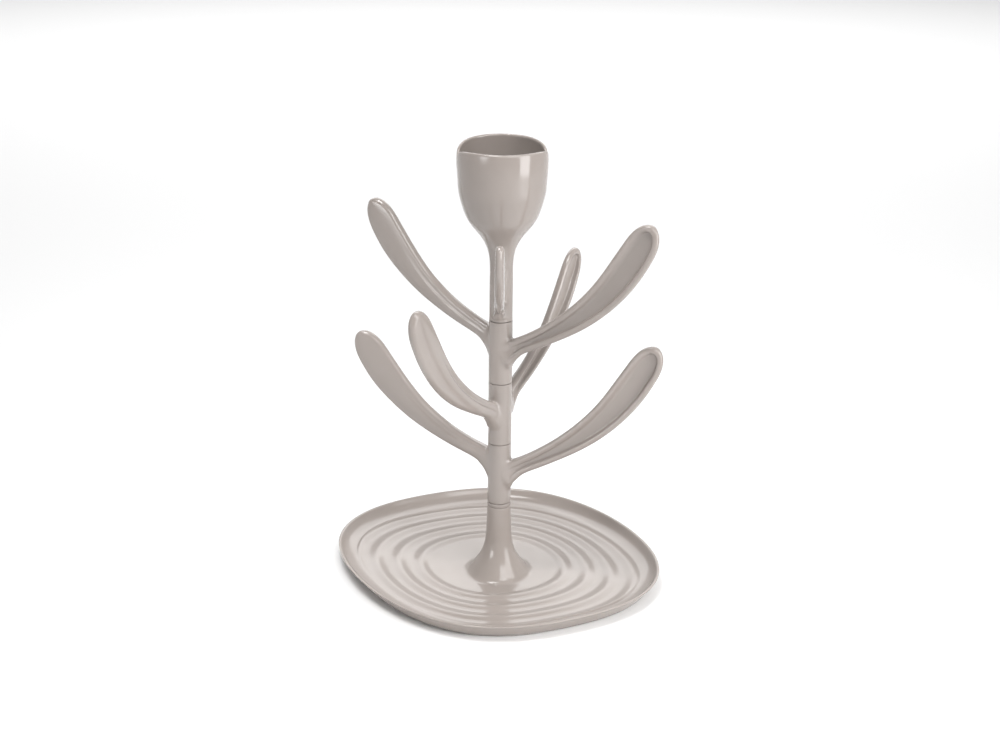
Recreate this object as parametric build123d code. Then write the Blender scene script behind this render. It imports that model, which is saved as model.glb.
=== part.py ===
from build123d import *
import math
import os

os.makedirs("parts", exist_ok=True)

# ---------------------------------------------------------------------------
# Bottle drying rack, all dimensions in millimetres, +Z up.
# Origin: on the stem axis, in the plane of the surface that the tray stands on.
# A pebble-shaped drip tray carries a flared pedestal.  A flanged connector is
# plugged into the pedestal, and three identical twin-arm branch modules and a
# tulip-shaped cup piece are stacked on it.  Every piece has a round spigot on
# top and a matching socket below, so each one turns freely about the stem.
# ---------------------------------------------------------------------------

# --- heights of the joint lines along the stem ---
PEDESTAL_TOP = 57.0        # top of the tray's pedestal
COLLAR_H = 3.1             # visible thickness of the connector's collar
MODULE_PITCH = 45.4        # height that each branch module adds to the stack
JOINT_GAP = 0.30           # dark line left between two stacked pieces

# --- stem and push-together joints ---
STEM_R = 8.2               # branch module hub, outside
COLLAR_R = 8.3             # connector collar and pedestal top, outside
SPIGOT_R = 5.00            # spigot on top of each piece
SOCKET_R = 5.08            # socket in the bottom of each piece
SPIGOT_H = 12.5            # spigot height above its shoulder
SOCKET_DEPTH = 13.2        # socket depth
PLUG_R = 5.00              # plug of the connector, in the pedestal
PLUG_SOCKET_R = 5.08       # socket for it in the pedestal
EDGE = 0.45                # softened edge at each joint line
LEAD_IN = 0.9              # lead-in chamfer of spigots

# --- tray ---
TRAY_H = 11.5              # rim height above the table
TRAY_CENTRE = (-1.5, 15.0) # centre of the pebble outline relative to the stem
# outline radius as a Fourier series: mean, then cosine and sine terms
RIM_FOURIER = (113.36, 0.254, 0.719, 1.759, -5.516, 0.216, 0.259,
               1.048, -2.935, 0.006, -0.033, -0.598, -0.169)
FLOOR_TOP = 4.5            # water level floor, upper side
FLOOR_UNDER = 2.0          # floor, lower side, above the table
RIM_WALL = 2.4             # rim thickness
RIPPLE_CENTRE = (-4.2, 8.2)
RIPPLE_RADII = (51.4, 66.8, 82.8, 98.0)
RIPPLE_H = 1.1
RIPPLE_HALF = 4.6          # half width of a ripple's foot

# pedestal outside profile: (radius, height)
PEDESTAL_PROFILE = ((25.4, 4.4), (22.8, 5.2), (20.9, 7.0), (19.0, 9.5), (17.1, 12.1),
                    (15.2, 14.7), (13.0, 18.6), (11.3, 22.6), (10.0, 27.6),
                    (9.2, 34.0), (8.75, 42.0), (8.4, 50.0))
PEDESTAL_WALL = 2.8

# --- branch arms: stations along the centre line ---
# (radius, height above the module's joint line, slope in degrees,
#  half width, half thickness, depth of the dish)
ARM_A = ((3.5, 20.6, 37.0, 8.2, 4.9, 0.0),
         (8.2, 24.2, 37.0, 7.2, 4.6, 0.1),
         (13.0, 27.8, 34.0, 6.3, 4.2, 0.5),
         (18.0, 30.7, 30.0, 5.95, 3.8, 1.0),
         (26.0, 35.0, 28.5, 6.15, 3.5, 1.5),
         (38.5, 42.4, 32.0, 6.9, 3.25, 1.9),
         (50.0, 50.1, 36.0, 7.9, 3.15, 2.1),
         (62.5, 60.0, 41.5, 9.1, 3.1, 2.3),
         (74.5, 71.8, 48.0, 10.2, 3.1, 2.4),
         (84.5, 84.2, 54.0, 11.1, 3.1, 2.4),
         (92.5, 96.2, 58.5, 11.5, 3.1, 2.3),
         (98.8, 106.8, 60.5, 11.2, 3.05, 2.1),
         (103.6, 115.6, 62.8, 9.75, 2.9, 1.8),
         (106.5, 121.4, 64.3, 7.3, 2.6, 1.2),
         (107.9, 124.4, 64.7, 4.3, 2.0, 0.5),
         (108.45, 125.6, 64.7, 1.8, 1.2, 0.1))
ARM_B = ((3.5, 27.3, 38.0, 8.2, 4.9, 0.0),
         (8.2, 31.0, 37.0, 7.2, 4.6, 0.1),
         (13.0, 34.5, 31.0, 6.3, 4.2, 0.5),
         (18.0, 37.0, 24.5, 5.95, 3.8, 1.0),
         (26.0, 40.6, 25.0, 6.15, 3.5, 1.5),
         (39.0, 47.1, 29.0, 6.8, 3.25, 1.9),
         (50.0, 53.9, 34.5, 7.7, 3.15, 2.1),
         (61.0, 61.9, 39.6, 8.8, 3.1, 2.3),
         (70.5, 70.6, 45.0, 9.9, 3.1, 2.4),
         (79.0, 79.8, 50.0, 10.9, 3.1, 2.4),
         (86.5, 89.3, 54.7, 11.45, 3.1, 2.3),
         (92.3, 98.0, 57.6, 11.3, 3.05, 2.1),
         (97.4, 106.3, 58.8, 9.7, 2.9, 1.8),
         (100.7, 111.8, 59.3, 7.6, 2.6, 1.2),
         (102.6, 115.0, 59.4, 4.9, 2.0, 0.5),
         (103.5, 116.5, 59.4, 2.0, 1.2, 0.1))
ARM_B_TURN = 178.0         # arm B's bearing, measured from arm A
ARM_OFFSET = 1.0           # the root of each arm stands this far off the axis

# smaller arms of the cup piece, heights above its own joint line
ARM_S = ((3.0, 6.2, 30.0, 6.6, 4.4, 0.0),
         (7.5, 8.8, 29.0, 5.9, 4.1, 0.1),
         (12.0, 11.3, 27.0, 5.2, 3.8, 0.4),
         (18.0, 14.6, 27.0, 4.75, 3.5, 0.8),
         (26.0, 18.9, 30.0, 4.9, 3.3, 1.2),
         (35.0, 24.8, 36.0, 5.6, 3.2, 1.5),
         (44.0, 32.1, 42.0, 6.6, 3.15, 1.8),
         (52.0, 40.2, 48.0, 7.6, 3.1, 1.9),
         (59.0, 49.2, 54.5, 8.2, 3.1, 1.9),
         (64.0, 57.2, 59.0, 8.2, 3.0, 1.7),
         (67.4, 63.3, 61.5, 7.2, 2.8, 1.3),
         (69.6, 67.6, 63.0, 5.6, 2.4, 0.9),
         (71.0, 70.5, 63.5, 3.4, 1.8, 0.3),
         (71.6, 71.8, 63.5, 1.5, 1.1, 0.05))

# bearings of the pieces as assembled, degrees anticlockwise from +X
LOWER_BEARING = -13.3
MIDDLE_BEARING = -119.2
UPPER_BEARING = -26.0
CUP_ARM_BEARING = -90.0

# --- tulip cup, heights above its own joint line (outside radius, height) ---
CUP_PROFILE = ((7.95, 30.0), (7.9, 38.0), (8.2, 43.0), (8.9, 47.6),
               (10.3, 52.3), (12.4, 56.5), (15.2, 60.7), (18.6, 64.9),
               (21.8, 69.0), (24.2, 73.2), (25.8, 77.3), (27.2, 81.5),
               (28.3, 85.6), (29.2, 89.7), (29.9, 97.9), (30.45, 106.0),
               (30.6, 113.0), (30.4, 118.0), (29.9, 122.4), (29.7, 123.6))
CUP_WALL = 2.1
CUP_FLOOR = 64.5           # lowest point inside the cup
# upper edge of the two petals in the side view: (distance from the side, height)
PETAL_EDGE = ((0.0, 107.0), (1.1, 110.5), (2.2, 114.0), (3.6, 116.4),
              (6.0, 118.4), (9.0, 119.6), (12.5, 120.5), (16.5, 121.2),
              (20.5, 121.7), (25.5, 122.05), (31.5, 122.2))
PETAL_TURN = 4.0           # the side notches' bearing, anticlockwise from +X
PETAL_LEAN = 1.7           # the rear petal stands a little taller (degrees)

COLLAR_BASE = PEDESTAL_TOP
MODULE_Z = (COLLAR_BASE + COLLAR_H,
            COLLAR_BASE + COLLAR_H + MODULE_PITCH,
            COLLAR_BASE + COLLAR_H + 2 * MODULE_PITCH)
CUP_Z = COLLAR_BASE + COLLAR_H + 3 * MODULE_PITCH


# ---------------------------------------------------------------------------
# tray
# ---------------------------------------------------------------------------
def rim_radius(a):
    r = RIM_FOURIER[0]
    for k in range(1, 7):
        r += RIM_FOURIER[2 * k - 1] * math.cos(k * a) + RIM_FOURIER[2 * k] * math.sin(k * a)
    return r


def outline(inset, z, n=40):
    """closed smooth outline of the pebble, a fixed distance inside its rim"""
    pts = []
    for i in range(n):
        a = 2 * math.pi * i / n
        r = rim_radius(a) - inset
        pts.append((TRAY_CENTRE[0] + r * math.cos(a), TRAY_CENTRE[1] + r * math.sin(a), z))
    return Wire(Spline(*pts, periodic=True))


def ripple_outline(radius, offset, z, n=32):
    """closed outline of one ripple ring; outer rings follow the rim more"""
    pts = []
    for i in range(n):
        a = 2 * math.pi * i / n
        shape = rim_radius(a) / RIM_FOURIER[0]
        k = min(1.0, radius / 90.0)
        r = radius * (1.0 + k * (shape - 1.0)) + offset
        r *= 1.0 - 0.035 * math.sin(a) ** 2
        pts.append((RIPPLE_CENTRE[0] + r * math.cos(a), RIPPLE_CENTRE[1] + r * math.sin(a), z))
    return Wire(Spline(*pts, periodic=True))


def stack(wires, ruled=False):
    return Solid.make_loft(wires, ruled)


def make_tray():
    # outer body: foot, flared wall and rounded rim
    body = stack([outline(9.6, 0.0), outline(7.6, 1.4)], True)
    body += stack([outline(7.6, 1.4), outline(4.6, 5.2), outline(1.6, 9.0), outline(0.5, 10.6)])
    body += stack([outline(0.5, 10.6), outline(0.35, TRAY_H - 0.35), outline(0.9, TRAY_H)], True)
    # inside: flat floor, cove and steep wall
    hollow = stack([outline(14.0, FLOOR_TOP), outline(9.2, FLOOR_TOP + 1.0),
                    outline(5.8, FLOOR_TOP + 3.4), outline(RIM_WALL + 0.6, TRAY_H - 0.5)])
    hollow += stack([outline(RIM_WALL + 0.6, TRAY_H - 0.5), outline(RIM_WALL - 0.3, TRAY_H + 0.2)], True)
    body -= hollow
    # underside is recessed inside a narrow foot
    body -= stack([outline(13.4, -1.0), outline(13.4, FLOOR_UNDER - 0.2)], True)
    # ripples
    for rad in RIPPLE_RADII:
        outer = stack([ripple_outline(rad, RIPPLE_HALF, FLOOR_TOP - 0.4),
                       ripple_outline(rad, 1.3, FLOOR_TOP + RIPPLE_H)], True)
        inner = stack([ripple_outline(rad, -RIPPLE_HALF, FLOOR_TOP - 0.4),
                       ripple_outline(rad, -1.3, FLOOR_TOP + RIPPLE_H)], True)
        body += outer - inner
    # pedestal, hollow from below, with the connector's socket on top
    top = [(COLLAR_R, PEDESTAL_TOP - EDGE), (COLLAR_R - EDGE, PEDESTAL_TOP)]
    foot = PEDESTAL_PROFILE[0]
    prof = Spline(*[(r, 0, z) for r, z in PEDESTAL_PROFILE], (COLLAR_R, 0, PEDESTAL_TOP - 3.0))
    line = Polyline((COLLAR_R, 0, PEDESTAL_TOP - 3.0), (top[0][0], 0, top[0][1]), (top[1][0], 0, top[1][1]),
                    (0, 0, PEDESTAL_TOP), (0, 0, 3.0), (foot[0], 0, 3.0), (foot[0], 0, foot[1]))
    pedestal = revolve(make_face(prof + line), Axis.Z)
    body += pedestal
    core = [(24.0, -1.0), (24.0, 2.2), (20.4, 3.2), (17.2, 5.8), (14.4, 9.2), (12.2, 12.4),
            (10.2, 16.2), (8.5, 20.4), (7.2, 25.6), (6.4, 32.0), (6.0, 38.5)]
    cspl = Spline(*[(r, 0, z) for r, z in core[1:]])
    cline = Polyline((core[-1][0], 0, core[-1][1]), (0, 0, core[-1][1]), (0, 0, -1.0), (24.0, 0, -1.0),
                     (24.0, 0, 2.2))
    body -= revolve(make_face(cspl + cline), Axis.Z)
    socket = Pos(0, 0, PEDESTAL_TOP - SOCKET_DEPTH) * Cylinder(
        PLUG_SOCKET_R, SOCKET_DEPTH + 1, align=(Align.CENTER, Align.CENTER, Align.MIN))
    body -= socket
    return body


# ---------------------------------------------------------------------------
# connector
# ---------------------------------------------------------------------------
def spigot(z, radius, height):
    """round spigot standing on z, with a lead-in chamfer"""
    c = Pos(0, 0, z - 0.5) * Cylinder(radius, height + 0.5,
                                      align=(Align.CENTER, Align.CENTER, Align.MIN))
    return chamfer(c.edges().sort_by(Axis.Z)[-1], LEAD_IN)


def make_connector():
    z0 = COLLAR_BASE + JOINT_GAP / 2
    z1 = COLLAR_BASE + COLLAR_H - JOINT_GAP / 2
    ring = Pos(0, 0, z0) * Cylinder(COLLAR_R, z1 - z0, align=(Align.CENTER, Align.CENTER, Align.MIN))
    ring = chamfer(ring.edges(), EDGE)
    plug = Pos(0, 0, z0 - SPIGOT_H) * Cylinder(PLUG_R, SPIGOT_H + 0.5,
                                               align=(Align.CENTER, Align.CENTER, Align.MIN))
    plug = chamfer(plug.edges().sort_by(Axis.Z)[0], LEAD_IN)
    return ring + plug + spigot(z1, SPIGOT_R, SPIGOT_H)


# ---------------------------------------------------------------------------
# arms
# ---------------------------------------------------------------------------
def section(station, bearing, z0):
    """closed outline across an arm: dished face to the clockwise side"""
    r, z, slope, w, t, dish = station
    z += z0
    s = math.radians(slope)
    b = math.radians(bearing)
    floor = t - dish
    pts = [(1.0, 0.10 * t), (0.94, 0.62 * t), (0.84, 0.95 * t), (0.66, floor + 0.45 * dish),
           (0.36, floor + 0.08 * dish), (0.0, floor), (-0.36, floor + 0.08 * dish),
           (-0.66, floor + 0.45 * dish), (-0.84, 0.95 * t), (-0.94, 0.62 * t), (-1.0, 0.10 * t),
           (-0.86, -0.55 * t), (-0.5, -0.9 * t), (0.0, -t), (0.5, -0.9 * t), (0.86, -0.55 * t)]
    d = (math.cos(b), math.sin(b))
    l = (math.sin(b), -math.cos(b))
    out = []
    for n, lat in pts:
        n *= w
        lat += ARM_OFFSET
        rr = r - n * math.sin(s)
        out.append((d[0] * rr + l[0] * lat, d[1] * rr + l[1] * lat, z + n * math.cos(s)))
    return Wire(Spline(*out, periodic=True))


def arm(stations, bearing, z0):
    return Solid.make_loft([section(s, bearing, z0) for s in stations], False)


def socket_cut(z0):
    return Pos(0, 0, z0 - 1.0) * Cylinder(SOCKET_R, SOCKET_DEPTH + 1.0,
                                          align=(Align.CENTER, Align.CENTER, Align.MIN))


def make_module(z0, bearing):
    """hub with a socket below, a spigot above and two dished arms"""
    lo = z0 + JOINT_GAP / 2
    hi = z0 + MODULE_PITCH - JOINT_GAP / 2
    hub = Pos(0, 0, lo) * Cylinder(STEM_R, hi - lo, align=(Align.CENTER, Align.CENTER, Align.MIN))
    hub = chamfer(hub.edges().group_by(Axis.Z)[0] + hub.edges().group_by(Axis.Z)[-1], EDGE)
    hub += arm(ARM_A, bearing, z0)
    hub += arm(ARM_B, bearing + ARM_B_TURN, z0)
    hub += spigot(hi, SPIGOT_R, SPIGOT_H)
    return hub - socket_cut(lo)


# ---------------------------------------------------------------------------
# cup
# ---------------------------------------------------------------------------
def make_cup():
    z0 = CUP_Z
    lo = z0 + JOINT_GAP / 2
    outer = Spline(*[(r, 0, z0 + z) for r, z in CUP_PROFILE])
    top_r, top_z = CUP_PROFILE[-1]
    side = Polyline((top_r, 0, z0 + top_z), (0, 0, z0 + top_z), (0, 0, lo),
                    (STEM_R - 0.15 - EDGE, 0, lo), (STEM_R - 0.15, 0, lo + EDGE), (7.95, 0, z0 + 30.0))
    solid = revolve(make_face(outer + side), Axis.Z)
    # inside of the bowl
    inner = []
    for r, z in CUP_PROFILE:
        if z > 73.0:
            inner.append((r - CUP_WALL, z))
    inner[-1] = (top_r - CUP_WALL + 0.1, top_z + 1.0)
    pts = [(0.0, CUP_FLOOR), (7.0, CUP_FLOOR + 0.7), (14.0, CUP_FLOOR + 3.2), (18.8, CUP_FLOOR + 7.0)] + inner
    ispl = Spline(*[(r, 0, z0 + z) for r, z in pts], tangents=((1, 0, 0), (0.0, 0, 1)))
    iline = Polyline((inner[-1][0], 0, z0 + inner[-1][1]), (0, 0, z0 + inner[-1][1]), (0, 0, z0 + CUP_FLOOR))
    solid -= revolve(make_face(ispl + iline), Axis.Z)
    # the two petals: everything above their edge, in the side view, is cut away
    edge = [(0, -y, z0 + z) for y, z in reversed(PETAL_EDGE)] + [(0, y, z0 + z) for y, z in PETAL_EDGE[1:]]
    e = Spline(*edge)
    far = PETAL_EDGE[-1][0]
    lid = Polyline(edge[-1], (0, far, z0 + 135), (0, -far, z0 + 135), edge[0])
    cut = extrude(make_face(e + lid), amount=45, dir=(1, 0, 0), both=True)
    cut = Pos(0, 0, z0 + 119) * Rot(PETAL_LEAN, 0, 0) * Pos(0, 0, -z0 - 119) * cut
    solid -= Rot(0, 0, PETAL_TURN) * cut
    solid += arm(ARM_S, CUP_ARM_BEARING, z0)
    solid += arm(ARM_S, CUP_ARM_BEARING + 180.0, z0)
    return solid - socket_cut(lo)


def single(shape):
    solids = shape.solids()
    print("solids", len(solids), "volume", round(sum(s.volume for s in solids), 1), "valid",
          all(s.is_valid for s in solids))
    return solids[0] if len(solids) == 1 else Compound(children=list(solids))


NODES = {
    "tray": make_tray,
    "base_connector": make_connector,
    "lower_arms": lambda: make_module(MODULE_Z[0], LOWER_BEARING),
    "middle_arms": lambda: make_module(MODULE_Z[1], MIDDLE_BEARING),
    "upper_arms": lambda: make_module(MODULE_Z[2], UPPER_BEARING),
    "tulip_cup": make_cup,
}

for name, make in NODES.items():
    print(name)
    export_step(single(make()), "parts/%s.step" % name)
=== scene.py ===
import math

import bmesh
import bpy
import numpy as np
from mathutils import Matrix, Vector


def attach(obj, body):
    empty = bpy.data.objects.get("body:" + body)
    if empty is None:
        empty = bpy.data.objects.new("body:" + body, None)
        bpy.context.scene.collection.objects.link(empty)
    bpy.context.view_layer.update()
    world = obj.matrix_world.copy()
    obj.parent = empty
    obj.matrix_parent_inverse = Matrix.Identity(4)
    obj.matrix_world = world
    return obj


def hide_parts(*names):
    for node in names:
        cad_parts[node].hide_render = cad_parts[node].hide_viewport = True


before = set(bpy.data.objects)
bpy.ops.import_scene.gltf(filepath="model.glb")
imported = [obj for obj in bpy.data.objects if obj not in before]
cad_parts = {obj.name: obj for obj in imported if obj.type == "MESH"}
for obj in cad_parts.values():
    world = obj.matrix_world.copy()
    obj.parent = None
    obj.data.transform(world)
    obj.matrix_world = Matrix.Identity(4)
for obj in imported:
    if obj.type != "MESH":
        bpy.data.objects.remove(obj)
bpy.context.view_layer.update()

# ---------------------------------------------------------------------------
# Bottle drying rack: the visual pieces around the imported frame.
# Shapes are worked out in millimetres in the row frame and stored in metres.
# ---------------------------------------------------------------------------
MM = 0.001

PEDESTAL_TOP = 57.0
COLLAR_H = 3.1
PITCH = 45.4
GAP = 0.30
STEM_R = 8.2
COLLAR_R = 8.3
SPIGOT_R = 5.00
SOCKET_R = 5.08
SPIGOT_H = 12.5
SOCKET_DEPTH = 13.2
EDGE = 0.45
MODULE_Z = [PEDESTAL_TOP + COLLAR_H + k * PITCH for k in range(3)]
CUP_Z = PEDESTAL_TOP + COLLAR_H + 3 * PITCH

TRAY_CENTRE = (-1.5, 15.0)
RIM = (113.36, 0.254, 0.719, 1.759, -5.516, 0.216, 0.259,
       1.048, -2.935, 0.006, -0.033, -0.598, -0.169)
RIPPLE_CENTRE = (-4.2, 8.2)
RIPPLE_FIRST = 51.4
RIPPLE_PITCH = 15.6

# arm stations: radius, height, slope, half width, half thickness, dish depth
ARM_A = ((3.5, 20.6, 37.0, 8.2, 4.9, 0.0), (8.2, 24.2, 37.0, 7.2, 4.6, 0.3),
         (13.0, 27.8, 34.0, 6.3, 4.2, 1.0), (18.0, 30.7, 30.0, 5.95, 3.9, 1.7),
         (26.0, 35.0, 28.5, 6.15, 3.7, 2.2), (38.5, 42.4, 32.0, 6.9, 3.6, 2.6),
         (50.0, 50.1, 36.0, 7.9, 3.55, 2.9), (62.5, 60.0, 41.5, 9.1, 3.5, 3.1),
         (74.5, 71.8, 48.0, 10.2, 3.5, 3.2), (84.5, 84.2, 54.0, 11.1, 3.5, 3.2),
         (92.5, 96.2, 58.5, 11.5, 3.45, 3.1), (98.8, 106.8, 60.5, 11.2, 3.4, 2.9),
         (103.6, 115.6, 62.8, 9.75, 3.3, 2.4), (106.5, 121.4, 64.3, 7.3, 3.1, 1.7),
         (107.9, 124.4, 64.7, 4.3, 2.9, 1.0), (108.45, 125.6, 64.7, 1.9, 2.8, 0.5))
ARM_B = ((3.5, 27.3, 38.0, 8.2, 4.9, 0.0), (8.2, 31.0, 37.0, 7.2, 4.6, 0.3),
         (13.0, 34.5, 31.0, 6.3, 4.2, 1.0), (18.0, 37.0, 24.5, 5.95, 3.9, 1.7),
         (26.0, 40.6, 25.0, 6.15, 3.7, 2.2), (39.0, 47.1, 29.0, 6.8, 3.6, 2.6),
         (50.0, 53.9, 34.5, 7.7, 3.55, 2.9), (61.0, 61.9, 39.6, 8.8, 3.5, 3.1),
         (70.5, 70.6, 45.0, 9.9, 3.5, 3.2), (79.0, 79.8, 50.0, 10.9, 3.5, 3.2),
         (86.5, 89.3, 54.7, 11.45, 3.45, 3.1), (92.3, 98.0, 57.6, 11.3, 3.4, 2.9),
         (97.4, 106.3, 58.8, 9.7, 3.3, 2.4), (100.7, 111.8, 59.3, 7.6, 3.1, 1.7),
         (102.6, 115.0, 59.4, 4.9, 2.9, 1.0), (103.5, 116.5, 59.4, 2.2, 2.8, 0.5))
ARM_S = ((3.0, 6.2, 30.0, 6.6, 4.4, 0.0), (7.5, 8.8, 29.0, 5.9, 4.1, 0.2),
         (12.0, 11.3, 27.0, 5.2, 3.8, 0.7), (18.0, 14.6, 27.0, 4.75, 3.6, 1.2),
         (26.0, 18.9, 30.0, 4.9, 3.5, 1.7), (35.0, 24.8, 36.0, 5.6, 3.4, 2.0),
         (44.0, 32.1, 42.0, 6.6, 3.4, 2.3), (52.0, 40.2, 48.0, 7.6, 3.4, 2.5),
         (59.0, 49.2, 54.5, 8.2, 3.3, 2.5), (64.0, 57.2, 59.0, 8.2, 3.3, 2.3),
         (67.4, 63.3, 61.5, 7.2, 3.1, 2.0), (69.6, 67.6, 63.0, 5.6, 2.9, 1.5),
         (71.0, 70.5, 63.5, 3.4, 2.7, 0.9), (71.6, 71.8, 63.5, 1.6, 2.6, 0.4))
ARM_B_TURN = 178.0
ARM_OFFSET = 1.0
BEARINGS = (-13.3, -119.2, -26.0)
CUP_ARM_BEARING = -90.0

CUP_PROFILE = ((7.95, 30.0), (7.9, 38.0), (8.2, 43.0), (8.9, 47.6),
               (10.3, 52.3), (12.4, 56.5), (15.2, 60.7), (18.6, 64.9),
               (21.8, 69.0), (24.2, 73.2), (25.8, 77.3), (27.2, 81.5),
               (28.3, 85.6), (29.2, 89.7), (29.9, 97.9), (30.45, 106.0),
               (30.6, 113.0), (30.4, 118.0), (29.9, 122.4), (28.6, 130.0))
CUP_WALL = 2.1
CUP_FLOOR = 64.5
PETAL_EDGE = ((0.0, 107.0), (1.1, 110.5), (2.2, 114.0), (3.6, 116.4), (6.0, 118.4),
              (9.0, 119.6), (12.5, 120.5), (16.5, 121.2), (20.5, 121.7),
              (25.5, 122.05), (31.5, 122.2))
PETAL_TURN = 4.0      # the two side notches, anticlockwise of the X axis
PETAL_LEAN = 0.9      # the rear petal stands a little taller than the front one


# ---------------------------------------------------------------------------
# small numeric helpers
# ---------------------------------------------------------------------------
def cubic(x, y):
    """natural cubic spline through (x, y), straight beyond its ends"""
    x, y = np.asarray(x, float), np.asarray(y, float)
    n, h = len(x), np.diff(x)
    a, b = np.zeros((n, n)), np.zeros(n)
    a[0, 0] = a[-1, -1] = 1
    for i in range(1, n - 1):
        a[i, i - 1], a[i, i], a[i, i + 1] = h[i - 1], 2 * (h[i - 1] + h[i]), h[i]
        b[i] = 6 * ((y[i + 1] - y[i]) / h[i] - (y[i] - y[i - 1]) / h[i - 1])
    m = np.linalg.solve(a, b)

    def ev(q):
        q = np.asarray(q, float)
        c = np.clip(q, x[0], x[-1])
        i = np.clip(np.searchsorted(x, c) - 1, 0, n - 2)
        t0, t1, hh = c - x[i], x[i + 1] - c, h[i]
        v = (m[i] * t1 ** 3 + m[i + 1] * t0 ** 3) / (6 * hh) \
            + (y[i] / hh - m[i] * hh / 6) * t1 + (y[i + 1] / hh - m[i + 1] * hh / 6) * t0
        d = (-m[i] * t1 ** 2 + m[i + 1] * t0 ** 2) / (2 * hh) \
            - (y[i] / hh - m[i] * hh / 6) + (y[i + 1] / hh - m[i + 1] * hh / 6)
        return v + (q - c) * d
    return ev


def sstep(t):
    t = np.clip(t, 0.0, 1.0)
    return t * t * (3 - 2 * t)


def mix(a, b, t):
    return a + (b - a) * t


def smin(a, b, k):
    h = np.clip(0.5 + 0.5 * (b - a) / k, 0, 1)
    return b + (a - b) * h - k * h * (1 - h)


def smax(a, b, k):
    return -smin(-a, -b, k)


class Plane:
    """a field sampled on a plane, read back with bilinear interpolation"""

    def __init__(self, x0, y0, h, values):
        self.x0, self.y0, self.h, self.v = x0, y0, h, values

    def __call__(self, x, y):
        nx, ny = self.v.shape
        fx = np.clip((x - self.x0) / self.h, 0, nx - 1.001)
        fy = np.clip((y - self.y0) / self.h, 0, ny - 1.001)
        i, j = fx.astype(np.int32), fy.astype(np.int32)
        tx, ty = fx - i, fy - j
        v = self.v
        return ((v[i, j] * (1 - tx) + v[i + 1, j] * tx) * (1 - ty)
                + (v[i, j + 1] * (1 - tx) + v[i + 1, j + 1] * tx) * ty)


def segment_distance(px, py, ax, ay, bx, by):
    """distance of many points to many segments: nearest distance, and where"""
    best = np.full(px.shape, 1e9)
    where = np.zeros(px.shape)
    side = np.zeros(px.shape)
    for k in range(len(ax)):
        dx, dy = bx[k] - ax[k], by[k] - ay[k]
        ll = dx * dx + dy * dy
        t = ((px - ax[k]) * dx + (py - ay[k]) * dy) / ll
        tc = np.clip(t, 0, 1)
        qx, qy = px - ax[k] - tc * dx, py - ay[k] - tc * dy
        d = np.hypot(qx, qy)
        better = d < best
        best = np.where(better, d, best)
        where = np.where(better, k + tc, where)
        side = np.where(better, dx * (py - ay[k]) - dy * (px - ax[k]), side)
    return best, where, side


def inside_polygon(px, py, x, y):
    c = np.zeros(px.shape, bool)
    n = len(x)
    for i in range(n):
        j = (i + 1) % n
        cross = (y[i] > py) != (y[j] > py)
        if y[i] == y[j]:
            continue
        xi = x[i] + (py - y[i]) * (x[j] - x[i]) / (y[j] - y[i])
        c ^= cross & (px < xi)
    return c


def polygon_field(x, y, skip, x0, x1, y0, y1, h):
    """signed distance to a closed outline (negative inside); segments in skip aren't walls"""
    gx, gy = np.meshgrid(np.arange(x0, x1 + h / 2, h), np.arange(y0, y1 + h / 2, h), indexing="ij")
    n = len(x)
    k = np.array([i for i in range(n) if i not in skip])
    nx, ny = np.roll(x, -1), np.roll(y, -1)
    d, _, _ = segment_distance(gx, gy, x[k], y[k], nx[k], ny[k])
    return Plane(x0, y0, h, np.where(inside_polygon(gx, gy, x, y), -d, d))


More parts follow.
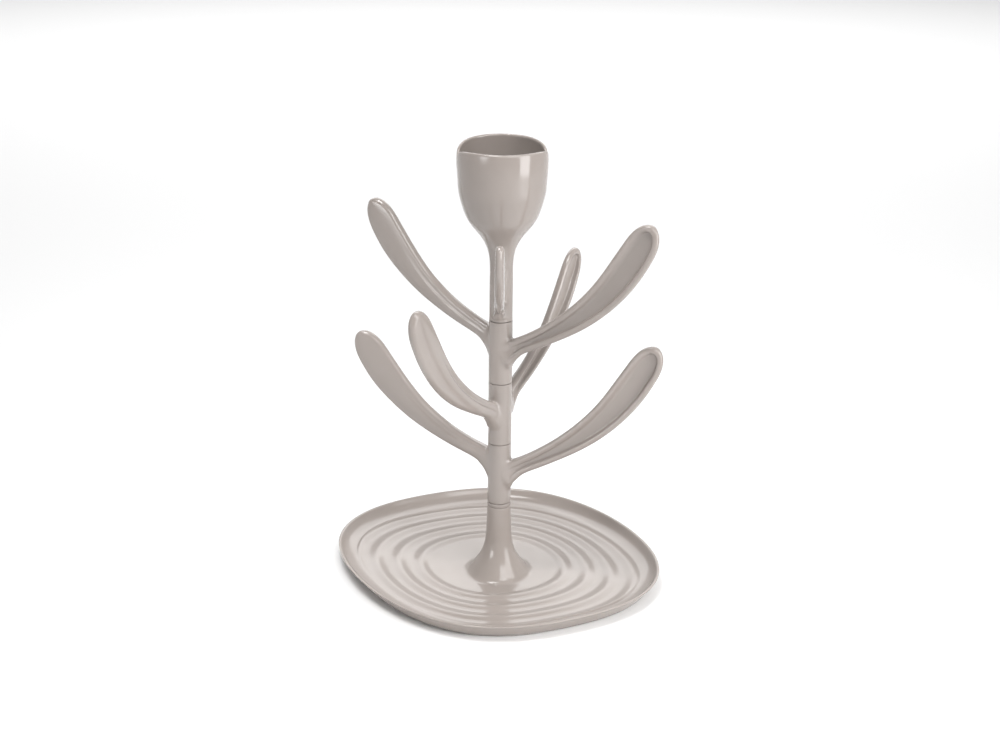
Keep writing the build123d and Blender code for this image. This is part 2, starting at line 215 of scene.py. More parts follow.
# ---------------------------------------------------------------------------
# surfaces of smooth fields as clean quad meshes
# ---------------------------------------------------------------------------
def surface(field, lo, hi, h, rounds=3):
    """quad mesh of field == 0; vertices are moved onto the surface itself"""
    lo = np.asarray(lo, float)
    n = np.ceil((np.asarray(hi, float) - lo) / h).astype(int) + 1
    xs, ys, zs = (lo[i] + h * np.arange(n[i]) for i in range(3))
    f = np.empty(tuple(n), np.float32)
    yy, zz = np.meshgrid(ys, zs, indexing="ij")
    step = max(1, int(400000 / yy.size))
    for i in range(0, n[0], step):
        x = xs[i:i + step]
        p = np.stack([np.repeat(x, yy.size), np.tile(yy.ravel(), len(x)), np.tile(zz.ravel(), len(x))], 1)
        f[i:i + step] = field(p).reshape(len(x), *yy.shape)
    s = f < 0
    cells = tuple(n - 1)
    acc = np.zeros(cells + (3,), np.float32)
    cnt = np.zeros(cells, np.float32)
    edges = []
    for ax in range(3):
        a = [slice(None)] * 3
        b = [slice(None)] * 3
        a[ax], b[ax] = slice(0, -1), slice(1, None)
        cross = s[tuple(a)] != s[tuple(b)]
        idx = np.argwhere(cross)
        f0, f1 = f[tuple(a)][cross], f[tuple(b)][cross]
        t = f0 / (f0 - f1)
        pos = idx.astype(np.float32)
        pos[:, ax] += t
        o1, o2 = [i for i in range(3) if i != ax]
        for d1 in (0, 1):
            for d2 in (0, 1):
                c = idx.copy()
                c[:, o1] -= d1
                c[:, o2] -= d2
                ok = ((c >= 0) & (c < np.array(cells))).all(1)
                ci = c[ok]
                flat = np.ravel_multi_index(ci.T, cells)
                for k in range(3):
                    acc[..., k].reshape(-1)[:] += np.bincount(flat, pos[ok, k], minlength=cnt.size).astype(np.float32)
                cnt.reshape(-1)[:] += np.bincount(flat, minlength=cnt.size)
        edges.append((ax, idx, s[tuple(a)][cross]))
    used = cnt > 0
    number = np.full(cells, -1, np.int64)
    number[used] = np.arange(used.sum())
    v = lo + h * (acc[used] / cnt[used][:, None]).astype(float)
    quads = []
    for ax, idx, inside in edges:
        o1, o2 = [(1, 2), (2, 0), (0, 1)][ax]
        ok = (idx[:, o1] > 0) & (idx[:, o2] > 0) & (idx[:, o1] < cells[o1]) & (idx[:, o2] < cells[o2])
        c, sgn = idx[ok], inside[ok]
        q = []
        for d1, d2 in ((1, 1), (0, 1), (0, 0), (1, 0)):
            cc = c.copy()
            cc[:, o1] -= d1
            cc[:, o2] -= d2
            q.append(number[tuple(cc.T)])
        q = np.stack(q, 1)
        q[~sgn] = q[~sgn][:, ::-1]
        quads.append(q)
    quads = np.concatenate(quads)
    # neighbours, for even spacing
    e = np.concatenate([quads[:, [i, (i + 1) % 4]] for i in range(4)])
    e = np.unique(np.sort(e, 1), axis=0)
    deg = np.bincount(e.ravel(), minlength=len(v)).astype(float)
    for r in range(rounds + 1):
        v = onto(field, v, h)
        if r == rounds:
            break
        avg = np.zeros_like(v)
        for k in range(3):
            avg[:, k] = np.bincount(e[:, 0], v[e[:, 1], k], minlength=len(v)) + np.bincount(e[:, 1], v[e[:, 0], k], minlength=len(v))
        v = v + 0.6 * (avg / deg[:, None] - v)
    return v, quads


def onto(field, v, h, steps=4):
    eps = 0.04
    for _ in range(steps):
        f = field(v)
        g = np.empty_like(v)
        for k in range(3):
            d = np.zeros(3)
            d[k] = eps
            g[:, k] = (field(v + d) - field(v - d)) / (2 * eps)
        move = f[:, None] * g / np.maximum((g * g).sum(1), 0.05)[:, None]
        size = np.linalg.norm(move, axis=1)
        move *= np.minimum(1, 0.4 * h / np.maximum(size, 1e-9))[:, None]
        v = v - move
    return v


# ---------------------------------------------------------------------------
# arms
# ---------------------------------------------------------------------------
class Arm:
    def __init__(self, st, bearing, ridge):
        st = np.array(st, float)
        self.ridge = ridge
        b = math.radians(bearing)
        self.d = (math.cos(b), math.sin(b))
        self.l = (math.sin(b), -math.cos(b))
        chord = np.concatenate([[0], np.cumsum(np.hypot(np.diff(st[:, 0]), np.diff(st[:, 1])))])
        sr, sz = cubic(chord, st[:, 0]), cubic(chord, st[:, 1])
        q = np.arange(-12, chord[-1] + 14, 0.6)
        r, z = sr(q), sz(q)
        arc = np.concatenate([[0], np.cumsum(np.hypot(np.diff(r), np.diff(z)))])
        arc -= np.interp(0.0, q, arc)
        h = 0.5
        x0, x1 = min(-14.0, r.min() - 4), r.max() + 8
        y0, y1 = z.min() - 22, z.max() + 16
        gx, gy = np.meshgrid(np.arange(x0, x1, h), np.arange(y0, y1, h), indexing="ij")
        d, where, side = segment_distance(gx, gy, r[:-1], z[:-1], r[1:], z[1:])
        k = np.clip(where.astype(int), 0, len(arc) - 2)
        self.s = Plane(x0, y0, h, arc[k] + (where - k) * (arc[k + 1] - arc[k]))
        self.n = Plane(x0, y0, h, np.where(side > 0, d, -d))
        ts = np.interp(chord, q, arc)
        self.ts, self.st = ts, st
        # outline of the blade, flattened along its centre line, with a round tip
        self.end = ts[-1] + 0.28
        fine = np.linspace(ts[0], ts[-1], 150)
        wf = cubic(ts[:-4], st[:-4, 3])
        w = np.where(fine <= ts[-5], wf(fine), np.interp(fine, ts, st[:, 3]))
        tip = fine > ts[-6]
        # superellipse through the last stations
        s5, w5 = ts[-5], float(wf(ts[-5]))
        span = self.end - s5
        u = np.clip((fine - s5) / span, 0, 1)
        slope = (float(wf(s5 + 0.01)) - w5) / 0.01
        w = np.where(fine > s5, (w5 + slope * (fine - s5) * (1 - u)) * (1 - u ** 2.35) ** 0.5, w)
        px = np.concatenate([fine, [self.end], fine[::-1]])
        py = np.concatenate([w, [0.0], -w[::-1]])
        self.out = polygon_field(px, py, set(), ts[0] - 14, self.end + 16, -30, 30, 0.5)
        self.wf = (fine, w)

    def field(self, x, y, z):
        r = x * self.d[0] + y * self.d[1]
        lat = x * self.l[0] + y * self.l[1] - ARM_OFFSET
        s, n = self.s(r, z), self.n(r, z)
        out = self.out(s, n)
        t = np.interp(s, self.ts, self.st[:, 4])
        dish = np.interp(s, self.ts, self.st[:, 5])
        w = np.maximum(np.interp(s, *self.wf), 5.0)
        depth = -out
        u = np.clip(n / w, -1.2, 1.2)
        # hollow side: a rolled lip along the lower edge and round the tip, a flat
        # floor, and a long slope up to the upper edge
        low = sstep((depth - 3.7) / 1.2)
        up = sstep((depth - 0.9) / 6.4)
        g = mix(low, up, sstep((u - 0.05) / 0.6))
        top = t - 1.27 * dish * g
        # round side: crowned, with a ridge that starts at the hub, runs parallel
        # to the upper edge and dies out towards the tip; beyond the ridge the
        # surface drops a little and comes back to a thin lip at the upper edge
        v = np.clip(s / self.end, 0.0, 1.0)
        from_u = mix(0.02, 0.42, sstep(v / 0.75))
        drop = mix(self.ridge, 0.0, sstep((v - 0.40) / 0.36)) * sstep((v - 0.04) / 0.10)
        fall = sstep((u - from_u) / 0.17)
        rise = sstep((u - from_u - 0.17) / (0.74 - from_u))
        bot = -t + np.where(u < 0, 1.75, 1.15) * u * u + drop * fall * (1.0 - rise)
        c, half = (top + bot) / 2, (top - bot) / 2
        rad = np.minimum(2.3, half * 0.98)
        q1, q2 = out + rad, np.abs(lat - c) - (half - rad)
        f = np.hypot(np.maximum(q1, 0), np.maximum(q2, 0)) + np.minimum(np.maximum(q1, q2), 0) - rad
        far = np.where(r < -4, 20.0, 0.0)
        return f + far, n, r


def join_arm(hub, arm, x, y, z, k_low, k_up, window):
    f, n, r = arm.field(x, y, z)
    k = mix(k_low, k_up, sstep(n / 8 + 0.5)) * window * sstep((r + 0.5) / 5.0)
    return smin(hub, f, np.maximum(k, 0.3))


def lathe_from(bm, z, steps):
    """continues the open round end at height z through (radius, height) steps and closes it"""
    edges = [e for e in bm.edges if e.is_boundary and abs(e.verts[0].co.z - z) < 1e-3 and abs(e.verts[1].co.z - z) < 1e-3]
    verts = {w for e in edges for w in e.verts}
    ang = {w: math.atan2(w.co.y, w.co.x) for w in verts}
    for w in verts:
        w.co.x, w.co.y, w.co.z = steps[0][0] * math.cos(ang[w]), steps[0][0] * math.sin(ang[w]), z
    for r, zz in steps[1:]:
        res = bmesh.ops.extrude_edge_only(bm, edges=edges)
        edges = [g for g in res["geom"] if isinstance(g, bmesh.types.BMEdge)]
        for w in {w for e in edges for w in e.verts}:
            a = math.atan2(w.co.y, w.co.x)
            w.co = (r * math.cos(a), r * math.sin(a), zz)
    bmesh.ops.contextual_create(bm, geom=edges)
    # a flat inner end: a fan to the middle keeps the shading clean
    last = [f for f in bm.faces if len(f.verts) > 8]
    bmesh.ops.poke(bm, faces=last)


def rounded(r, z, e, out):
    """quarter-round edge from the side (r) to the end plane; out is +1 upwards, -1 downwards"""
    pts = [(r, z - out * 1.2), (r, z - out * e)]
    for k in (22.5, 45, 67.5, 90):
        a = math.radians(k)
        pts.append((r - e * (1 - math.cos(a)), z - out * e * (1 - math.sin(a))))
    return pts


def spigot_steps(z):
    return [(SPIGOT_R + 0.35, z), (SPIGOT_R + 0.1, z + 0.1), (SPIGOT_R, z + 0.35), (SPIGOT_R, z + 1.0),
            (SPIGOT_R, z + SPIGOT_H - 1.4), (SPIGOT_R - 0.12, z + SPIGOT_H - 0.8),
            (SPIGOT_R - 0.45, z + SPIGOT_H - 0.3), (SPIGOT_R - 0.95, z + SPIGOT_H), (SPIGOT_R - 2.0, z + SPIGOT_H)]


def socket_steps(z):
    return [(SOCKET_R + 0.4, z), (SOCKET_R + 0.12, z + 0.12), (SOCKET_R, z + 0.4), (SOCKET_R, z + 1.2),
            (SOCKET_R, z + SOCKET_DEPTH - 0.5), (SOCKET_R - 0.5, z + SOCKET_DEPTH), (SOCKET_R - 2.0, z + SOCKET_DEPTH)]


def finish_mesh(bm, name, turn=0.0, lift=0.0):
    bmesh.ops.recalc_face_normals(bm, faces=bm.faces[:])
    if bm.calc_volume(signed=True) < 0:
        bmesh.ops.reverse_faces(bm, faces=bm.faces[:])
    m = Matrix.Scale(MM, 4) @ Matrix.Translation((0, 0, lift)) @ Matrix.Rotation(math.radians(turn), 4, "Z")
    me = bpy.data.meshes.new(name)
    bm.to_mesh(me)
    me.transform(m)
    me.update()
    me.polygons.foreach_set("use_smooth", np.ones(len(me.polygons), bool))
    ob = bpy.data.objects.new(name, me)
    bpy.context.scene.collection.objects.link(ob)
    return ob


def build_module():
    a, b = Arm(ARM_A, 0.0, 1.35), Arm(ARM_B, ARM_B_TURN, 0.35)

    def field(p):
        x, y, z = p[:, 0], p[:, 1], p[:, 2]
        hub = np.hypot(x, y) - STEM_R
        win = sstep((z - 1.5) / 5) * sstep((PITCH - 1.5 - z) / 4)
        f = join_arm(hub, a, x, y, z, 5.0, 3.0, win)
        return join_arm(f, b, x, y, z, 5.0, 3.0, win)
    h = 0.75
    v, q = surface(field, (-108.5, -13.5, -2.5), (113.5, 13.5, 130.0), h)
    return v, q, GAP / 2, PITCH - GAP / 2


def module_bmesh():
    v, q, lo, hi = build_module()
    bm = bmesh.new()
    me = bpy.data.meshes.new("tmp")
    me.from_pydata(v.tolist(), [], q.tolist())
    bm.from_mesh(me)
    bpy.data.meshes.remove(me)
    # bottom end
    bmesh.ops.bisect_plane(bm, geom=bm.verts[:] + bm.edges[:] + bm.faces[:], dist=1e-4,
                           plane_co=(0, 0, lo + 1.2), plane_no=(0, 0, -1), clear_outer=True)
    # top end: only the stem column is cut, the arms pass beside it
    col_f = [f for f in bm.faces if math.hypot(*f.calc_center_median()[:2]) < STEM_R + 0.5
             and f.calc_center_median().z > hi - 4.5]
    geom = set(col_f)
    for f in col_f:
        geom.update(f.verts)
        geom.update(f.edges)
    bmesh.ops.bisect_plane(bm, geom=list(geom), dist=1e-4,
                           plane_co=(0, 0, hi - 1.2), plane_no=(0, 0, 1))
    drop = [f for f in bm.faces if math.hypot(*f.calc_center_median()[:2]) < STEM_R + 0.5
            and f.calc_center_median().z > hi - 1.2]
    bmesh.ops.delete(bm, geom=drop, context="FACES")
    for z in (lo + 1.2, hi - 1.2):
        ring = [w for w in bm.verts if abs(w.co.z - z) < 1e-3 and math.hypot(w.co.x, w.co.y) < STEM_R + 1]
        bmesh.ops.remove_doubles(bm, verts=ring, dist=0.15)
    bmesh.ops.delete(bm, geom=[w for w in bm.verts if not w.link_faces], context="VERTS")
    lathe_from(bm, lo + 1.2, rounded(STEM_R, lo, EDGE, -1) + socket_steps(lo))
    lathe_from(bm, hi - 1.2, rounded(STEM_R, hi, EDGE, 1) + spigot_steps(hi))
    return bm


def build_cup():
    arms = (Arm(ARM_S, CUP_ARM_BEARING, 0.3), Arm(ARM_S, CUP_ARM_BEARING + 180, 0.3))
    prof = np.array(CUP_PROFILE)
    pz = cubic(prof[:, 1], prof[:, 0])
    zz = np.linspace(30, 130, 140)
    rr = pz(zz)
    rr[zz < 34] = np.interp(zz[zz < 34], [30, 34], [7.97, float(pz(34))])
    ox = np.concatenate([[0, 8.05, 8.0], rr, [0]])
    oy = np.concatenate([[-12, -12, 0], zz, [130]])
    outer = polygon_field(ox, oy, {0, len(ox) - 2, len(ox) - 1}, 0.0, 42.0, -12.0, 136.0, 0.4)
    # inside of the bowl: parallel to the outside, closing over a rounded floor
    iz = [(0.0, CUP_FLOOR), (5.0, CUP_FLOOR + 0.35), (10.0, CUP_FLOOR + 1.6), (14.5, CUP_FLOOR + 3.9), (18.4, CUP_FLOOR + 7.1)]
    iz += [(float(pz(z)) - CUP_WALL, z) for z in (76.5, 80.5, 85.6, 91, 98, 106, 113, 118, 122.4, 130)]
    iz = np.array(iz)
    ch = np.concatenate([[0], np.cumsum(np.hypot(*np.diff(iz, axis=0).T))])
    t = np.linspace(0, ch[-1], 160)
    ix, iy = cubic(ch, iz[:, 0])(t), cubic(ch, iz[:, 1])(t)
    cx = np.concatenate([ix, [0]])
    cy = np.concatenate([iy, [iy[-1]]])
    inner = polygon_field(cx, cy, {len(cx) - 2, len(cx) - 1}, 0.0, 42.0, 50.0, 136.0, 0.4)
    # petals: the side view's edge, rounded where the two petals part
    ed = np.array(PETAL_EDGE)
    ch = np.concatenate([[0], np.cumsum(np.hypot(*np.diff(ed, axis=0).T))])
    t = np.linspace(0, ch[-1], 160)
    ey, ez = cubic(ch, ed[:, 0])(t), cubic(ch, ed[:, 1])(t)
    px = np.concatenate([ey, [45, 45, 0]])
    py = np.concatenate([ez, [122.2, 142, 142]])
    above = polygon_field(px, py, {len(px) - 1, len(px) - 2, len(px) - 3}, 0.0, 44.0, 90.0, 141.0, 0.3)
    pc, ps = math.cos(math.radians(PETAL_TURN)), math.sin(math.radians(PETAL_TURN))

    def field(p):
        x, y, z = p[:, 0], p[:, 1], p[:, 2]
        rho = np.hypot(x, y)
        f = outer(rho, z)
        body = smax(f, np.where(z > 52, -inner(rho, z), -30.0), 0.25)
        side = y * pc - x * ps
        cut = np.where(z > 92, -above(np.abs(side), z - PETAL_LEAN * side / 30.0), -30.0)
        body = smax(body, cut, 1.5)
        win = sstep((z - 1.0) / 3.5)
        for arm in arms:
            body = join_arm(body, arm, x, y, z, 4.0, 2.5, win)
        return body
    h = 0.75
    v, q = surface(field, (-32.6, -75.5, -2.5), (32.6, 75.5, 126.5), h)
    lo = GAP / 2
    bm = bmesh.new()
    me = bpy.data.meshes.new("tmp")
    me.from_pydata(v.tolist(), [], q.tolist())
    bm.from_mesh(me)
    bpy.data.meshes.remove(me)
    bmesh.ops.bisect_plane(bm, geom=bm.verts[:] + bm.edges[:] + bm.faces[:], dist=1e-4,
                           plane_co=(0, 0, lo + 1.2), plane_no=(0, 0, -1), clear_outer=True)
    ring = [w for w in bm.verts if abs(w.co.z - lo - 1.2) < 1e-3]
    bmesh.ops.remove_doubles(bm, verts=ring, dist=0.15)
    bmesh.ops.delete(bm, geom=[w for w in bm.verts if not w.link_faces], context="VERTS")
    lathe_from(bm, lo + 1.2, rounded(8.05, lo, EDGE, -1) + socket_steps(lo))
    return bm


# ---------------------------------------------------------------------------
# tray
# ---------------------------------------------------------------------------
def rim_radius(a):
    r = np.full_like(a, RIM[0])
    for k in range(1, 7):
        r = r + RIM[2 * k - 1] * np.cos(k * a) + RIM[2 * k] * np.sin(k * a)
    return r


def dense(points, step):
    """resamples a smooth curve through (u, v) points at about step"""
    p = np.array(points, float)
    ch = np.concatenate([[0], np.cumsum(np.hypot(*np.diff(p, axis=0).T))])
    n = max(2, int(round(ch[-1] / step)) + 1)
    t = np.linspace(0, ch[-1], n)
    return np.stack([cubic(ch, p[:, 0])(t), cubic(ch, p[:, 1])(t)], 1)


def ripple(x, y):
    dx, dy = x - RIPPLE_CENTRE[0], y - RIPPLE_CENTRE[1]
    a, r = np.arctan2(dy, dx), np.hypot(dx, dy)
    shape = rim_radius(a) / RIM[0]
    k = np.clip(r / 90.0, 0, 1)
    rho = r / (1 + k * (shape - 1)) / (1 - 0.035 * np.sin(a) ** 2)
    wave = (0.5 + 0.5 * np.cos(2 * math.pi * (rho - RIPPLE_FIRST) / RIPPLE_PITCH)) ** 1.5
    win = sstep((rho - (RIPPLE_FIRST - 8.5)) / 6) * sstep((RIPPLE_FIRST + 3 * RIPPLE_PITCH + 7.8 - rho) / 5)
    return 1.05 * wave * win


def build_tray():
    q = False
    na = 240 if q else 480
    st = 2.4 if q else 1.15
    a = np.linspace(0, 2 * math.pi, na, endpoint=False)
    ca, sa = np.cos(a), np.sin(a)
    R = rim_radius(a)
    rows = []

    def ped(r, z):
        rows.append(np.stack([r * ca, r * sa, np.full(na, z)], 1))

    def rim(inset, z):
        rr = R - inset
        rows.append(np.stack([TRAY_CENTRE[0] + rr * ca, TRAY_CENTRE[1] + rr * sa, np.full(na, z)], 1))

    # hollow of the pedestal, from its top down to the underside
    for r in (1.0, 3.0, 5.2):
        ped(r, 38.5)
    for r, z in dense([(6.0, 38.0), (6.4, 32.0), (7.2, 25.6), (8.5, 20.4), (10.2, 16.2), (12.2, 12.4),
                       (14.4, 9.2), (17.2, 5.8), (20.4, 3.2), (24.0, 1.9)], 1.6):
        ped(r, z)
    under_in = rows[-1].copy()
    rim(14.4, 1.8)
    under_out = rows.pop()
    for t in np.linspace(0, 1, 34)[1:]:
        rows.append(under_in * (1 - t) + under_out * t)
        rows[-1][:, 2] = 1.8
    # foot, flared outer wall, rolled rim, inner wall and cove
    for i, z in dense([(14.4, 1.8), (13.7, 1.55), (13.3, 0.9), (13.1, 0.3), (12.7, 0.0)], 0.45)[1:]:
        rim(i, z)
    for i in (12.0, 11.0, 10.2):
        rim(i, 0.0)
    for i, z in dense([(9.7, 0.0), (8.9, 0.22), (7.9, 0.95), (6.3, 2.9), (4.5, 5.3), (2.7, 7.8), (1.1, 9.9),
                       (0.35, 10.75), (0.25, 11.15), (0.6, 11.45), (1.15, 11.55), (1.75, 11.42), (2.3, 11.0),
                       (2.9, 10.2), (3.8, 8.9), (5.0, 7.4), (6.6, 6.1), (8.8, 5.2), (11.5, 4.68), (14.0, 4.5)],
                      0.9 if q else 0.5)[0:]:
        rim(i, z)
    floor_out = rows[-1].copy()
    ped(25.6, 4.5)
    floor_in = rows.pop()
    nf = int(round(85 / st))
    for t in np.linspace(0, 1, nf)[1:]:
        p = floor_out * (1 - t) + floor_in * t
        p[:, 2] = 4.5 + ripple(p[:, 0], p[:, 1])
        rows.append(p)
    # flared pedestal
    for r, z in dense([(25.6, 4.5), (24.0, 4.66), (22.6, 5.2), (21.3, 6.3), (20.0, 7.9), (18.7, 9.75), (17.0, 12.2),
                       (15.2, 14.8), (13.0, 18.6), (11.3, 22.8), (10.05, 27.6), (9.25, 34.0), (8.75, 42.0),
                       (8.42, 50.0), (8.3, 55.8)], 1.2 if q else 0.7)[1:]:
        ped(r, z)
    for r, z in rounded(COLLAR_R, PEDESTAL_TOP, EDGE, 1)[1:]:
        ped(r, z)
    for r, z in ((5.5, PEDESTAL_TOP), (5.2, PEDESTAL_TOP - 0.12), (5.08, PEDESTAL_TOP - 0.4), (5.08, PEDESTAL_TOP - 1.4),
                 (5.08, PEDESTAL_TOP - 7.0), (5.08, PEDESTAL_TOP - SOCKET_DEPTH + 0.6), (4.5, PEDESTAL_TOP - SOCKET_DEPTH),
                 (2.5, PEDESTAL_TOP - SOCKET_DEPTH), (1.0, PEDESTAL_TOP - SOCKET_DEPTH)):
        ped(r, z)
    rows = np.array(rows)
    nr = len(rows)
    bm = bmesh.new()
    me = bpy.data.meshes.new("tmp")
    v = rows.reshape(-1, 3)
    i, j = np.meshgrid(np.arange(nr - 1), np.arange(na), indexing="ij")
    jn = (j + 1) % na
    quads = np.stack([i * na + j, i * na + jn, (i + 1) * na + jn, (i + 1) * na + j], -1).reshape(-1, 4)
    n = len(v)
    v = np.concatenate([v, [[0, 0, 38.5], [0, 0, PEDESTAL_TOP - SOCKET_DEPTH]]])
    caps = [(int(n), int((k + 1) % na), int(k)) for k in range(na)]
    base = (nr - 1) * na
    caps += [(int(n + 1), int(base + k), int(base + (k + 1) % na)) for k in range(na)]
    me.from_pydata(v.tolist(), [], quads.tolist() + caps)
    bm.from_mesh(me)
    bpy.data.meshes.remove(me)
    return bm


# ---------------------------------------------------------------------------
# connector
# ---------------------------------------------------------------------------
def build_connector():
    z0, z1 = PEDESTAL_TOP + GAP / 2, PEDESTAL_TOP + COLLAR_H - GAP / 2
    prof = [(1.0, z0 - SPIGOT_H), (SPIGOT_R - 0.95, z0 - SPIGOT_H), (SPIGOT_R - 0.45, z0 - SPIGOT_H + 0.3),
            (SPIGOT_R - 0.12, z0 - SPIGOT_H + 0.8), (SPIGOT_R, z0 - SPIGOT_H + 1.4), (SPIGOT_R, z0 - 6),
            (SPIGOT_R, z0 - 0.35), (SPIGOT_R + 0.1, z0 - 0.1), (SPIGOT_R + 0.35, z0)]
    low = rounded(COLLAR_R, z0, EDGE, -1)[1:][::-1]
    high = rounded(COLLAR_R, z1, EDGE, 1)[1:]
    prof += low + high + spigot_steps(z1) + [(1.0, z1 + SPIGOT_H)]
    na = 96
    a = np.linspace(0, 2 * math.pi, na, endpoint=False)
    rows = np.array([np.stack([r * np.cos(a), r * np.sin(a), np.full(na, z)], 1) for r, z in prof])
    nr = len(rows)
    v = rows.reshape(-1, 3)
    i, j = np.meshgrid(np.arange(nr - 1), np.arange(na), indexing="ij")
    jn = (j + 1) % na
    quads = np.stack([i * na + j, i * na + jn, (i + 1) * na + jn, (i + 1) * na + j], -1).reshape(-1, 4)
    n = len(v)
    v = np.concatenate([v, [[0, 0, prof[0][1]], [0, 0, prof[-1][1]]]])
    caps = [(n, (k + 1) % na, k) for k in range(na)]
    base = (nr - 1) * na
    caps += [(n + 1, base + k, base + (k + 1) % na) for k in range(na)]
    me = bpy.data.meshes.new("tmp")
    me.from_pydata(v.tolist(), [], quads.tolist() + caps)
    bm = bmesh.new()
    bm.from_mesh(me)
    bpy.data.meshes.remove(me)
    return bm


# ---------------------------------------------------------------------------
# material: glossy moulded plastic
# ---------------------------------------------------------------------------
def plastic(name, colour, dark, light, rough, shine):
    m = bpy.data.materials.new(name)
    m.use_nodes = True
    nt = m.node_tree
    nt.nodes.clear()
    out = nt.nodes.new("ShaderNodeOutputMaterial")
    b = nt.nodes.new("ShaderNodeBsdfPrincipled")
    nt.links.new(b.outputs["BSDF"], out.inputs["Surface"])
    co = nt.nodes.new("ShaderNodeTexCoord")
    # slow drift of the pigment, as in a coloured moulding compound
    n1 = nt.nodes.new("ShaderNodeTexNoise")
    n1.inputs["Scale"].default_value = 26.0
    n1.inputs["Detail"].default_value = 3.0
    n1.inputs["Roughness"].default_value = 0.55
    nt.links.new(co.outputs["Object"], n1.inputs["Vector"])
    ramp = nt.nodes.new("ShaderNodeValToRGB")
    ramp.color_ramp.elements[0].position = 0.32
    ramp.color_ramp.elements[0].color = (*dark, 1)
    ramp.color_ramp.elements[1].position = 0.68
    ramp.color_ramp.elements[1].color = (*light, 1)
    mid = ramp.color_ramp.elements.new(0.5)
    mid.color = (*colour, 1)
    nt.links.new(n1.outputs["Fac"], ramp.inputs["Fac"])
    nt.links.new(ramp.outputs["Color"], b.inputs["Base Color"])
    # polish varies a little over the mould's surface
    n2 = nt.nodes.new("ShaderNodeTexNoise")
    n2.inputs["Scale"].default_value = 90.0
    n2.inputs["Detail"].default_value = 4.0
    nt.links.new(co.outputs["Object"], n2.inputs["Vector"])
    mr = nt.nodes.new("ShaderNodeMapRange")
    mr.inputs["From Min"].default_value = 0.3
    mr.inputs["From Max"].default_value = 0.7
    mr.inputs["To Min"].default_value = rough - 0.025
    mr.inputs["To Max"].default_value = rough + 0.035
    nt.links.new(n2.outputs["Fac"], mr.inputs["Value"])
    nt.links.new(mr.outputs["Result"], b.inputs["Roughness"])
    # very fine orange-peel of a polished mould
    n3 = nt.nodes.new("ShaderNodeTexNoise")
    n3.inputs["Scale"].default_value = 420.0
    n3.inputs["Detail"].default_value = 2.0
    nt.links.new(co.outputs["Object"], n3.inputs["Vector"])
    bump = nt.nodes.new("ShaderNodeBump")
    bump.inputs["Strength"].default_value = 0.035
    bump.inputs["Distance"].default_value = 0.0003
    nt.links.new(n3.outputs["Fac"], bump.inputs["Height"])
    nt.links.new(bump.outputs["Normal"], b.inputs["Normal"])
    b.inputs["IOR"].default_value = 1.52
    b.inputs["Specular IOR Level"].default_value = shine
    b.inputs["Subsurface Weight"].default_value = 0.0
    return m


BASE = (0.282, 0.248, 0.227)
DARK = (0.274, 0.240, 0.219)
LIGHT = (0.290, 0.256, 0.235)
mat_arm = plastic("arm_plastic", BASE, DARK, LIGHT, 0.15, 0.60)
# the tray is the same plastic as the other mouldings; its base colour is a little lighter as a painted reflection,
# standing in for the sheen its lower specular level takes away
mat_tray_painted_sheen = plastic("tray_plastic", (0.306, 0.270, 0.247), (0.298, 0.262, 0.239), (0.314, 0.278, 0.255), 0.15, 0.36)
mat_cup = plastic("cup_plastic", BASE, DARK, LIGHT, 0.12, 0.60)
mat_ring = plastic("connector_plastic", BASE, DARK, LIGHT, 0.15, 0.60)

made = {}


def place(bm, name, node, body, material, turn=0.0, lift=0.0):
    ob = finish_mesh(bm, name, turn, lift)
    ob.data.materials.append(material)
    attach(ob, body)
    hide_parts(node)
    made[name] = ob
    return ob


module = module_bmesh()
for k, (piece, node, body) in enumerate((("lower_arms_moulding", "lower_arms", "lower_branch"),
                                         ("middle_arms_moulding", "middle_arms", "middle_branch"),
                                         ("upper_arms_moulding", "upper_arms", "upper_branch"))):
    place(module, piece, node, body, mat_arm, BEARINGS[k], MODULE_Z[k])
module.free()
cup = build_cup()
place(cup, "tulip_cup_moulding", "tulip_cup", "cup_top", mat_cup, 0.0, CUP_Z)
cup.free()
tray = build_tray()
place(tray, "tray_moulding", "tray", "base", mat_tray_painted_sheen)
tray.free()
ring = build_connector()
place(ring, "base_connector_moulding", "base_connector", "connector", mat_ring)
ring.free()

# the hidden CAD nodes carry the same material
for name, m in (("tray", mat_tray_painted_sheen), ("base_connector", mat_ring), ("lower_arms", mat_arm),
                ("middle_arms", mat_arm), ("upper_arms", mat_arm), ("tulip_cup", mat_cup)):
    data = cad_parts[name].data
    data.materials.clear()
    data.materials.append(m)

# ---------------------------------------------------------------------------
# floor, light and camera
# ---------------------------------------------------------------------------
def flat_material(name, colour, rough):
    m = bpy.data.materials.new(name)
    m.use_nodes = True
    b = m.node_tree.nodes["Principled BSDF"]
    b.inputs["Base Color"].default_value = (*colour, 1)
    b.inputs["Roughness"].default_value = rough
    return m


fm = bpy.data.meshes.new("floor")
s = 6.0
fm.from_pydata([(-s, -s, 0), (s, -s, 0), (s, s, 0), (-s, s, 0)], [], [(0, 1, 2, 3)])
floor = bpy.data.objects.new("floor", fm)
floor.location = (0, 0, -0.0002)
bpy.context.scene.collection.objects.link(floor)
fm.materials.append(flat_material("floor_white", (0.84, 0.84, 0.84), 0.9))

world = bpy.data.worlds.new("studio")
bpy.context.scene.world = world
world.use_nodes = True
wt = world.node_tree
bg = wt.nodes["Background"]
bg.inputs["Strength"].default_value = 1.0
# a white sweep low behind the object, a dimmer room elsewhere
wc = wt.nodes.new("ShaderNodeTexCoord")
sep = wt.nodes.new("ShaderNodeSeparateXYZ")
wt.links.new(wc.outputs["Generated"], sep.inputs["Vector"])


def ranged(src, a, b, lo, hi):
    n = wt.nodes.new("ShaderNodeMapRange")
    n.interpolation_type = "SMOOTHSTEP"
    n.inputs["From Min"].default_value, n.inputs["From Max"].default_value = a, b
    n.inputs["To Min"].default_value, n.inputs["To Max"].default_value = lo, hi
    wt.links.new(src, n.inputs["Value"])
    return n.outputs["Result"]


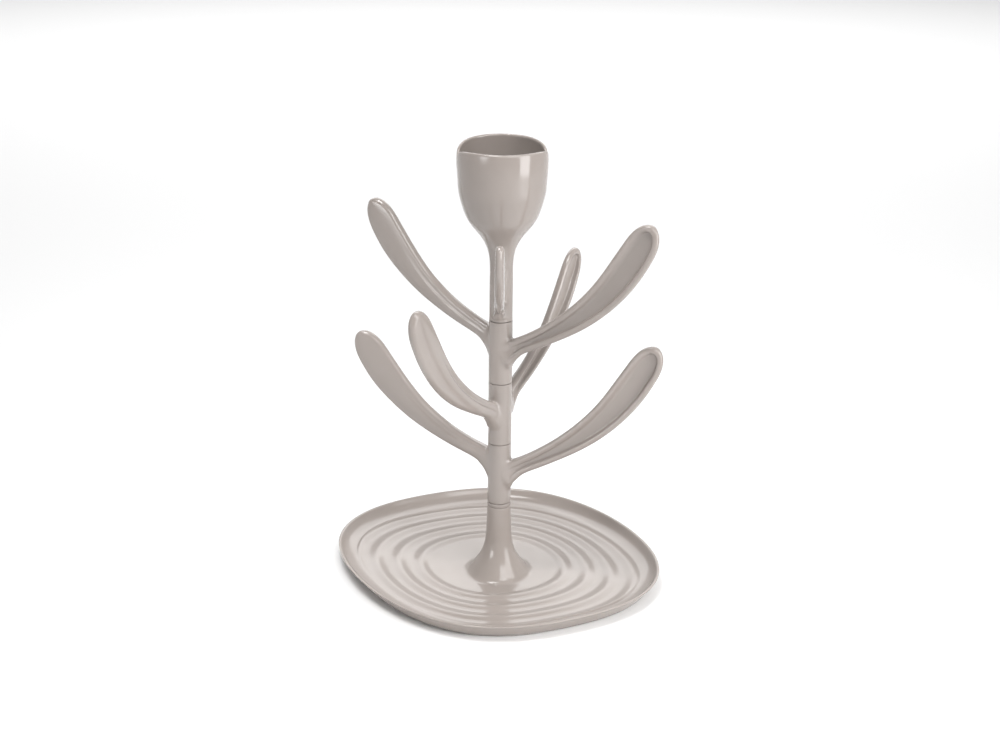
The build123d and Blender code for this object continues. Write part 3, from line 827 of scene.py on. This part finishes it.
def times(a, b):
    n = wt.nodes.new("ShaderNodeMath")
    n.operation = "MULTIPLY"
    wt.links.new(a, n.inputs[0])
    wt.links.new(b, n.inputs[1])
    return n.outputs["Value"]


sweep = times(ranged(sep.outputs["Y"], 0.05, 0.75, 0.0, 1.0), ranged(sep.outputs["Z"], 0.40, 0.68, 1.0, 0.0))
ramp = wt.nodes.new("ShaderNodeMapRange")
ramp.inputs["To Max"].default_value = 0.73
wt.links.new(ranged(sep.outputs["X"], -0.7, 0.7, 0.27, 0.42), ramp.inputs["To Min"])
wt.links.new(sweep, ramp.inputs["Value"])
wt.links.new(ramp.outputs["Result"], bg.inputs["Color"])


def softbox(name, loc, target, size, power, spread=math.pi):
    li = bpy.data.lights.new(name, "AREA")
    li.shape = "RECTANGLE"
    li.spread = spread
    li.size, li.size_y = size
    li.energy = power
    ob = bpy.data.objects.new(name, li)
    ob.location = loc
    ob.rotation_mode = "QUATERNION"
    ob.rotation_quaternion = (Vector(target) - Vector(loc)).to_track_quat("-Z", "Y")
    bpy.context.scene.collection.objects.link(ob)
    return ob


softbox("top_box", (-0.22, -0.20, 1.15), (0.0, 0.0, 0.1), (0.4, 0.4), 7.8)
softbox("front_box", (0.50, -1.00, 1.15), (0.0, 0.0, 0.12), (0.7, 0.5), 8.3)
softbox("right_box", (0.76, -0.50, 0.35), (0.0, 0.0, 0.17), (0.45, 0.8), 6.8)
softbox("left_box", (-1.0, -0.9, 0.22), (0.0, 0.0, 0.0), (0.7, 0.36), 0.36, math.radians(40))
softbox("back_box", (0.0, 2.3, 1.7), (0.0, 1.6, 0.0), (3.2, 1.6), 46.0)

cam_data = bpy.data.cameras.new("camera")
cam = bpy.data.objects.new("camera", cam_data)
bpy.context.scene.collection.objects.link(cam)
FOCAL, SCALE, ELEV, LOOK_Z, ROLL = 1661.92, 1.44, 20.59, 155.61, 0.60
e, rl = math.radians(ELEV), math.radians(ROLL)
dist = FOCAL / SCALE
fwd = Vector((0, math.cos(e), -math.sin(e)))
up = Vector((0, math.sin(e), math.cos(e)))
right = Vector((1, 0, 0))
r2 = right * math.cos(rl) + up * math.sin(rl)
u2 = up * math.cos(rl) - right * math.sin(rl)
pos = (Vector((-0.2, 0, LOOK_Z)) - fwd * dist) * MM
cam.matrix_world = Matrix(((r2.x, u2.x, -fwd.x, pos.x), (r2.y, u2.y, -fwd.y, pos.y),
                           (r2.z, u2.z, -fwd.z, pos.z), (0, 0, 0, 1)))
cam_data.sensor_width = 36.0
cam_data.lens = FOCAL / 1000 * 36
cam_data.clip_start, cam_data.clip_end = 0.05, 20
cam_data.dof.use_dof = False
bpy.context.scene.camera = cam

bpy.context.scene.view_settings.view_transform = "Standard"
bpy.context.scene.view_settings.look = "None"
bpy.context.scene.view_settings.exposure = 0.0

bpy.context.view_layer.update()
